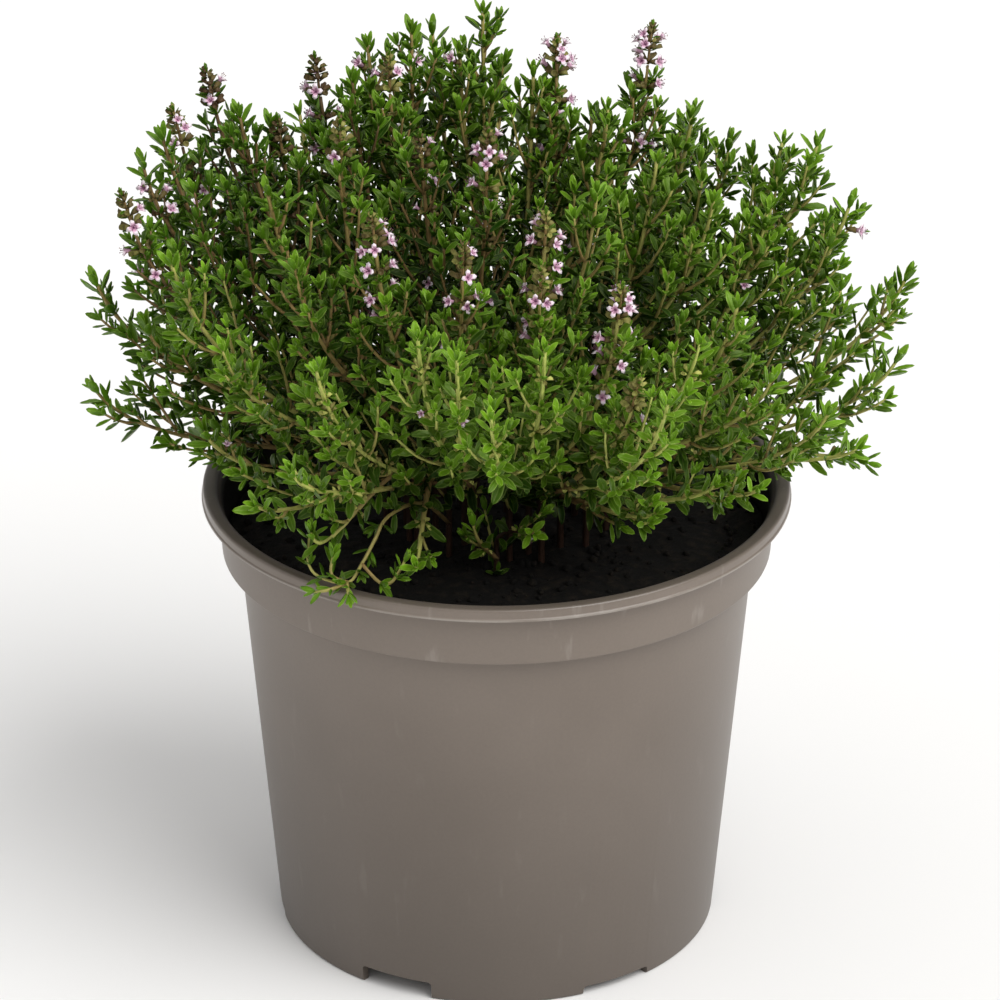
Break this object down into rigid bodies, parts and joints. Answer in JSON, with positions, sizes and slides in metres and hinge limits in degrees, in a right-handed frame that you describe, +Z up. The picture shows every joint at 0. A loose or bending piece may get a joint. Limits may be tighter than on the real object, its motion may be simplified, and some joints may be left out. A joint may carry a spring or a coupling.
{
  "type": "potted thyme",
  "caption": "Bushy flowering thyme in a round tapered plastic grower's pot with a rolled rim, a collar and a notched foot ring.",
  "frame": {"origin": "on the pot's axis, at the level of its feet, which is the centre of the whole plant's box seen from above", "axes": "+Z up along the pot's axis, +X to the right and +Y to the back, seen from the side that the picture shows"},
  "size_m": [0.1806, 0.1687, 0.2099],
  "materials": {
    "pot_plastic": "satin",
    "peat": "matte",
    "leafy_stem": "matte",
    "flower": "matte"
  },
  "bodies": {
    "root": {"pot": "pot_plastic", "soil": "peat", "stem_01": "leafy_stem", "stem_02": "leafy_stem", "stem_03": "leafy_stem", "stem_04": "leafy_stem", "stem_05": "leafy_stem", "stem_06": "leafy_stem", "stem_07": "leafy_stem", "stem_08": "leafy_stem", "stem_09": "leafy_stem", "stem_10": "leafy_stem", "stem_11": "leafy_stem", "stem_12": "leafy_stem", "stem_13": "leafy_stem", "stem_14": "leafy_stem", "stem_15": "leafy_stem", "stem_16": "leafy_stem", "stem_17": "leafy_stem", "stem_18": "leafy_stem", "stem_19": "leafy_stem", "stem_20": "leafy_stem", "stem_21": "leafy_stem", "stem_22": "leafy_stem", "stem_23": "leafy_stem", "stem_24": "leafy_stem", "stem_25": "leafy_stem", "stem_26": "leafy_stem", "stem_27": "leafy_stem", "stem_28": "leafy_stem", "stem_29": "leafy_stem", "stem_30": "leafy_stem", "stem_31": "leafy_stem", "stem_32": "leafy_stem", "stem_33": "leafy_stem", "stem_34": "leafy_stem", "stem_35": "leafy_stem", "stem_36": "leafy_stem", "stem_37": "leafy_stem", "stem_38": "leafy_stem", "bloom_01b": "flower", "bloom_02b": "flower", "bloom_07a": "flower", "bloom_09b": "flower", "bloom_12b": "flower", "bloom_14b": "flower", "bloom_14c": "flower", "bloom_23a": "flower", "bloom_23b": "flower", "bloom_24a": "flower", "bloom_24b": "flower", "bloom_25a": "flower", "bloom_25b": "flower"}
  },
  "joints": []
}
